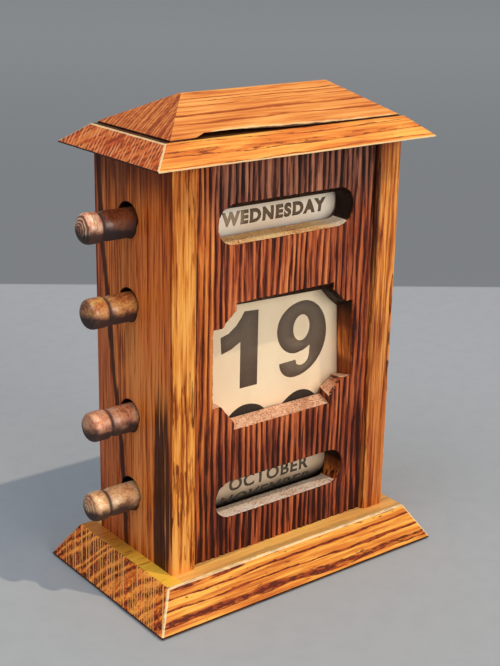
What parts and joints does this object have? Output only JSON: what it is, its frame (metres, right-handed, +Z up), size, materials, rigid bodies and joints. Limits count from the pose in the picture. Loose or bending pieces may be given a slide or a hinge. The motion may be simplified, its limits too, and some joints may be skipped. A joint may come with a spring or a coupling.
{
  "type": "perpetual desk calendar",
  "caption": "Wooden perpetual desk calendar: tall case on a bevelled base with a hipped roof, windows for day, date and month, and turned knobs on the left side that wind the rollers.",
  "frame": {"origin": "centre of the base's underside, on the surface that the calendar stands on", "axes": "+Z up, +X to the right seen from the front, +Y to the back; the windows face -Y and the knobs point to -X"},
  "size_m": [0.1596, 0.09, 0.2142],
  "materials": {
    "oak_base": "golden oak, wax polish over stain",
    "oak_side_left": "brown oak, satin",
    "oak_side_right": "brown oak, satin",
    "oak_panel": "striped dark oak, open grain, satin",
    "oak_back": "plain oak, satin",
    "oak_eave": "golden oak, satin",
    "oak_roof": "golden oak, satin",
    "knob_wood": "turned hardwood, polished",
    "roller_wood": "turned pine, bare",
    "dowel_wood": "beech dowel, bare",
    "date_paper": "aged cream paper on linen, matt",
    "name_paper": "aged grey-cream paper, matt",
    "felt": "thin dark baize",
    "steel": "plain steel screws",
    "brass": "round-headed brass screws"
  },
  "bodies": {
    "case": {"base_felt": "felt", "base_board": "oak_base", "side_left": "oak_side_left", "side_right": "oak_side_right", "front_panel": "oak_panel", "back_panel": "oak_back", "eave_board": "oak_eave", "roof_block": "oak_roof", "base_screws": "steel", "eave_screws": "steel", "back_screws": "brass", "date_band": "date_paper"},
    "date_upper": {"date_roller_upper": "roller_wood", "date_coil_upper": "date_paper", "date_knob_upper": "knob_wood", "date_pivot_upper": "dowel_wood"},
    "date_lower": {"date_roller_lower": "roller_wood", "date_coil_lower": "date_paper", "date_knob_lower": "knob_wood", "date_pivot_lower": "dowel_wood"},
    "day": {"day_drum": "roller_wood", "day_paper": "name_paper", "day_knob": "knob_wood", "day_pivot": "dowel_wood"},
    "month": {"month_drum": "roller_wood", "month_paper": "name_paper", "month_knob": "knob_wood", "month_pivot": "dowel_wood"}
  },
  "joints": [
    {"name": "day_turn", "type": "hinge", "parent": "case", "child": "day", "pos_m": [0, 0.00335, 0.16368], "axis": [-1, 0, 0], "continuous": true},
    {"name": "date_wind", "type": "hinge", "parent": "case", "child": "date_upper", "pos_m": [0, 0.00335, 0.12809], "axis": [-1, 0, 0], "range_deg": [-2689, 1792]},
    {"name": "date_feed", "type": "hinge", "parent": "case", "child": "date_lower", "pos_m": [0, 0.00335, 0.07879], "axis": [-1, 0, 0], "range_deg": [-2776, 1850]},
    {"name": "month_turn", "type": "hinge", "parent": "case", "child": "month", "pos_m": [0, 0.00335, 0.0421], "axis": [-1, 0, 0], "continuous": true}
  ],
  "couplings": [
    {"joint": "date_feed", "follows": "date_wind", "ratio": 1.0321}
  ]
}
